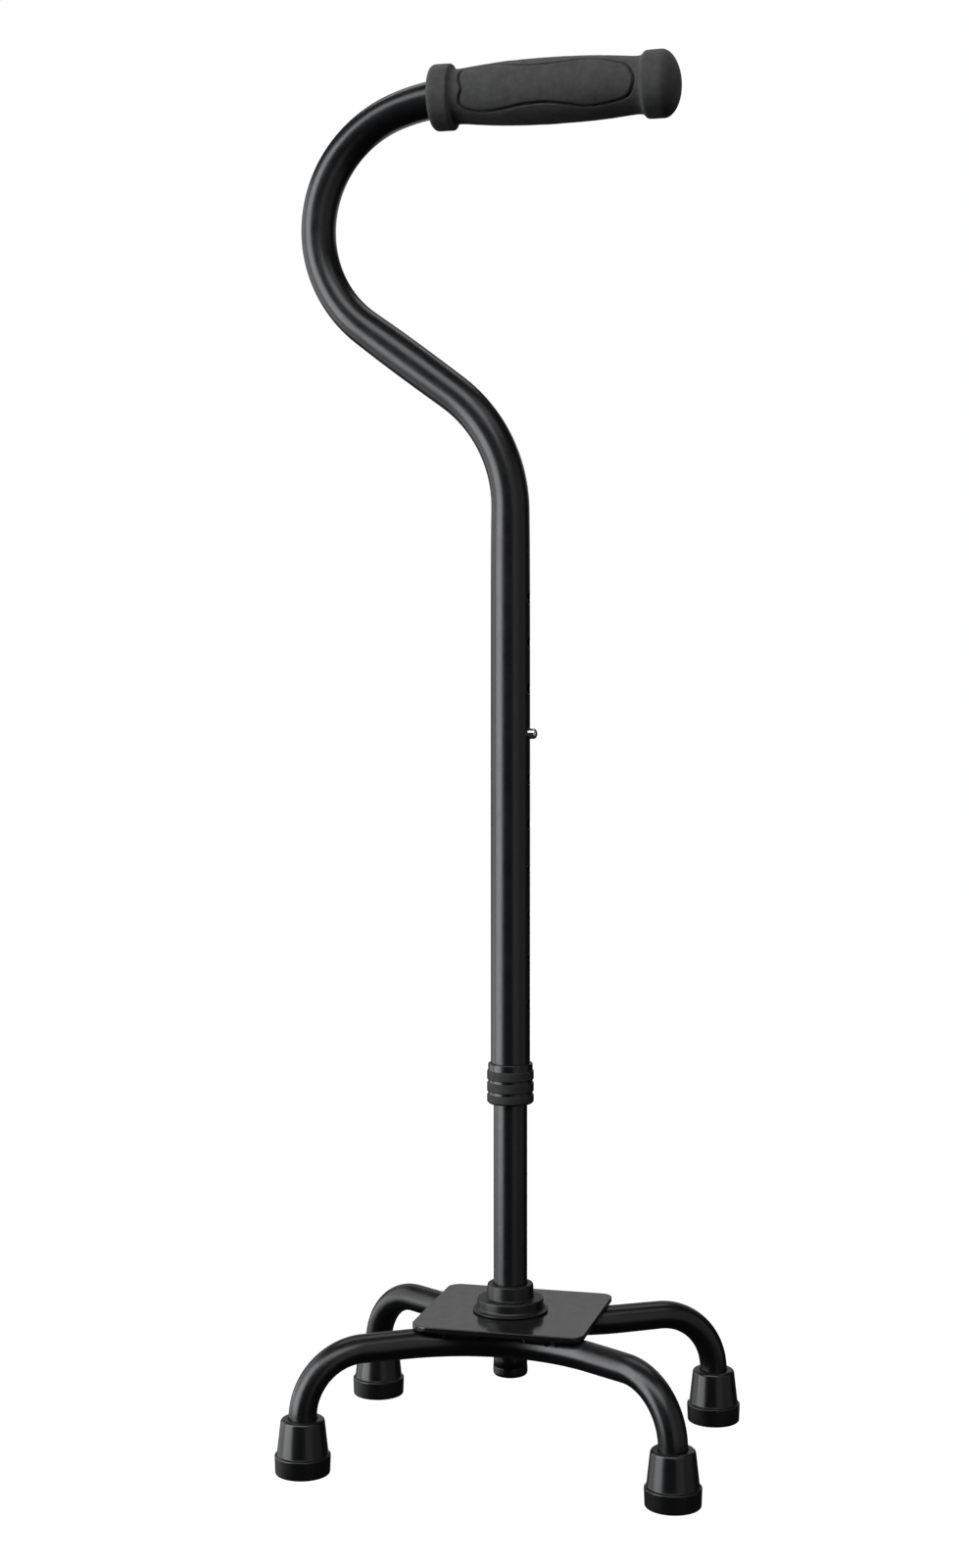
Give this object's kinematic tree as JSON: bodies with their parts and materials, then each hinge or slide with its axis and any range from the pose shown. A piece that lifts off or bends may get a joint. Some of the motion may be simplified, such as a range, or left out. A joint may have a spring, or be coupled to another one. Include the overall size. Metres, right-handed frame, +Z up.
{
  "type": "quad walking cane",
  "caption": "Height-adjustable walking cane with a gooseneck handle, soft grip, sprung height button and a low base on bent tube legs with rubber tips.",
  "frame": {"origin": "the point on the floor under the axis of the shaft", "axes": "+X along the hand grip towards its domed end, +Y from the front leg tube to the rear leg tube, +Z up along the shaft"},
  "size_m": [0.2447, 0.1726, 0.779],
  "materials": {
    "tube_paint": "satin",
    "plate_paint": "satin",
    "weld_paint": "matte",
    "grip_rubber": "matte",
    "tip_rubber": "satin",
    "black_plastic": "satin",
    "button_steel": "polished",
    "spring_steel": "satin",
    "washer_steel": "satin"
  },
  "bodies": {
    "base": {"base_plate": "plate_paint", "socket_tube": "tube_paint", "socket_weld": "weld_paint", "socket_boot": "black_plastic", "front_leg_tube": "tube_paint", "front_leg_weld": "weld_paint", "front_left_tip": "tip_rubber", "front_left_washer": "washer_steel", "front_right_tip": "tip_rubber", "front_right_washer": "washer_steel", "rear_leg_tube": "tube_paint", "rear_leg_weld": "weld_paint", "rear_left_tip": "tip_rubber", "rear_left_washer": "washer_steel", "rear_right_tip": "tip_rubber", "rear_right_washer": "washer_steel"},
    "shaft": {"lower_shaft": "tube_paint", "shaft_end_cap": "black_plastic", "height_spring": "spring_steel", "base_spring": "spring_steel"},
    "handle": {"handle_tube": "tube_paint", "hand_grip": "grip_rubber", "handle_end_plug": "black_plastic", "tube_collar": "black_plastic"},
    "height_button": {"height_button": "button_steel"},
    "base_button": {"base_button": "button_steel"}
  },
  "joints": [
    {"name": "base_swivel", "type": "hinge", "parent": "base", "child": "shaft", "pos_m": [0, 0, 0.07], "axis": [0, 0, 1], "range_deg": [0, 180], "deforming": ["base_button"]},
    {"name": "height_slide", "type": "slide", "parent": "shaft", "child": "handle", "axis": [0, 0, 1], "range_m": [-0.0762, 0.1524], "deforming": ["height_button"]},
    {"name": "height_button_press", "type": "slide", "parent": "shaft", "child": "height_button", "axis": [-1, 0, 0], "range_m": [0, 0.006], "stiffness_N_per_m": 800, "springref_m": -0.002, "deforming": ["height_spring"]},
    {"name": "base_button_press", "type": "slide", "parent": "shaft", "child": "base_button", "axis": [1, 0, 0], "range_m": [0, 0.006], "stiffness_N_per_m": 800, "springref_m": -0.002, "deforming": ["base_spring"]}
  ]
}
